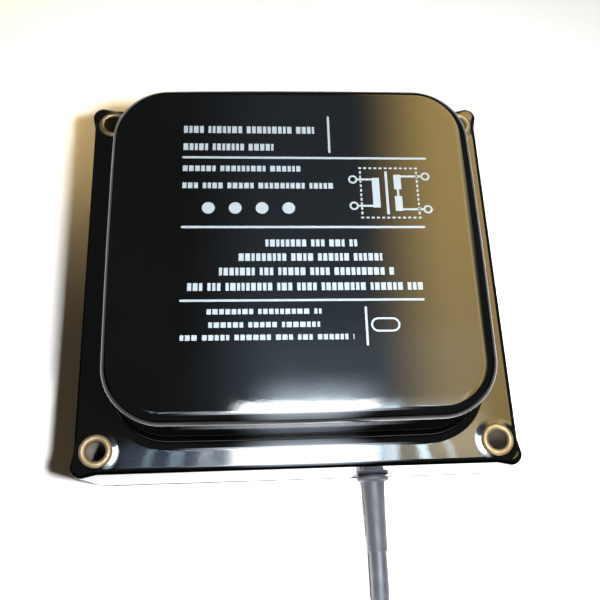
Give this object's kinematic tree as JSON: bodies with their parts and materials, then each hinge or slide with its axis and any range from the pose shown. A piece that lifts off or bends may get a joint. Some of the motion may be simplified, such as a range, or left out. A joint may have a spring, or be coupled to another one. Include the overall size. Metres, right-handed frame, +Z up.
{
  "type": "ignition transformer",
  "caption": "Potted high-voltage ignition transformer in a deep-drawn gloss black steel can: rounded dome on a ledge with brass corner eyelets, straight skirt and a black lead at the rim",
  "frame": {"origin": "centre of the rim's plane, under the middle of the can", "axes": "+X to the right along the wide side, -Y towards the side where the lead leaves, +Z up out of the dome"},
  "size_m": [0.1216, 0.2267, 0.053],
  "materials": {
    "black_enamel": "deep gloss black stoved enamel",
    "eyelet_brass": "rolled bright brass",
    "core_steel": "dull electrical steel laminations",
    "zinc_steel": "zinc plated",
    "bobbin_plastic": "natural moulded nylon",
    "enamelled_copper": "enamelled copper wire",
    "potting_compound": "poured black compound",
    "base_board": "brown laminated insulating board",
    "white_porcelain": "white glazed porcelain",
    "stud_brass": "turned brass",
    "grommet_rubber": "black rubber",
    "lead_pvc": "black flexible PVC sheath",
    "tinned_copper": "tinned",
    "high_voltage_wire": "red silicone insulation",
    "brown_wire": "brown insulation",
    "blue_wire": "blue insulation",
    "green_yellow_wire": "green and yellow insulation"
  },
  "bodies": {
    "root": {"base_board": "base_board", "clamp_screw_left": "zinc_steel", "clamp_screw_right": "zinc_steel", "core_bolt_front_left": "zinc_steel", "core_bolt_front_right": "zinc_steel", "core_bolt_rear_left": "zinc_steel", "core_bolt_rear_right": "zinc_steel", "core_nut_front_left": "zinc_steel", "core_nut_front_right": "zinc_steel", "core_nut_rear_left": "zinc_steel", "core_nut_rear_right": "zinc_steel", "core_stack": "core_steel", "core_wire_blue": "blue_wire", "core_wire_brown": "brown_wire", "core_wire_earth": "green_yellow_wire", "earth_nut": "zinc_steel", "earth_stud": "zinc_steel", "earth_tag": "tinned_copper", "end_wire_blue": "blue_wire", "end_wire_brown": "brown_wire", "end_wire_earth": "green_yellow_wire", "eyelet_front_left": "eyelet_brass", "eyelet_front_right": "eyelet_brass", "eyelet_rear_left": "eyelet_brass", "eyelet_rear_right": "eyelet_brass", "ferrule_blue": "tinned_copper", "ferrule_brown": "tinned_copper", "ferrule_earth": "tinned_copper", "housing": "black_enamel", "hv_bushing_left": "white_porcelain", "hv_bushing_right": "white_porcelain", "hv_link_left": "high_voltage_wire", "hv_link_right": "high_voltage_wire", "hv_stud_left": "stud_brass", "hv_stud_right": "stud_brass", "lead_clamp": "zinc_steel", "lead_grommet": "grommet_rubber", "lead_inner_sheath": "lead_pvc", "left_secondary_bobbin": "bobbin_plastic", "left_secondary_winding": "enamelled_copper", "magnetic_shunt_front_left": "core_steel", "magnetic_shunt_front_right": "core_steel", "magnetic_shunt_rear_left": "core_steel", "magnetic_shunt_rear_right": "core_steel", "potting_compound": "potting_compound", "primary_bobbin": "bobbin_plastic", "primary_link_blue": "blue_wire", "primary_link_brown": "brown_wire", "primary_terminal_blue": "stud_brass", "primary_terminal_brown": "stud_brass", "primary_winding": "enamelled_copper", "right_secondary_bobbin": "bobbin_plastic", "right_secondary_winding": "enamelled_copper", "ring_tag_blue": "tinned_copper", "ring_tag_brown": "tinned_copper", "supply_lead": "lead_pvc", "supply_lead_coil": "lead_pvc"}
  },
  "joints": []
}
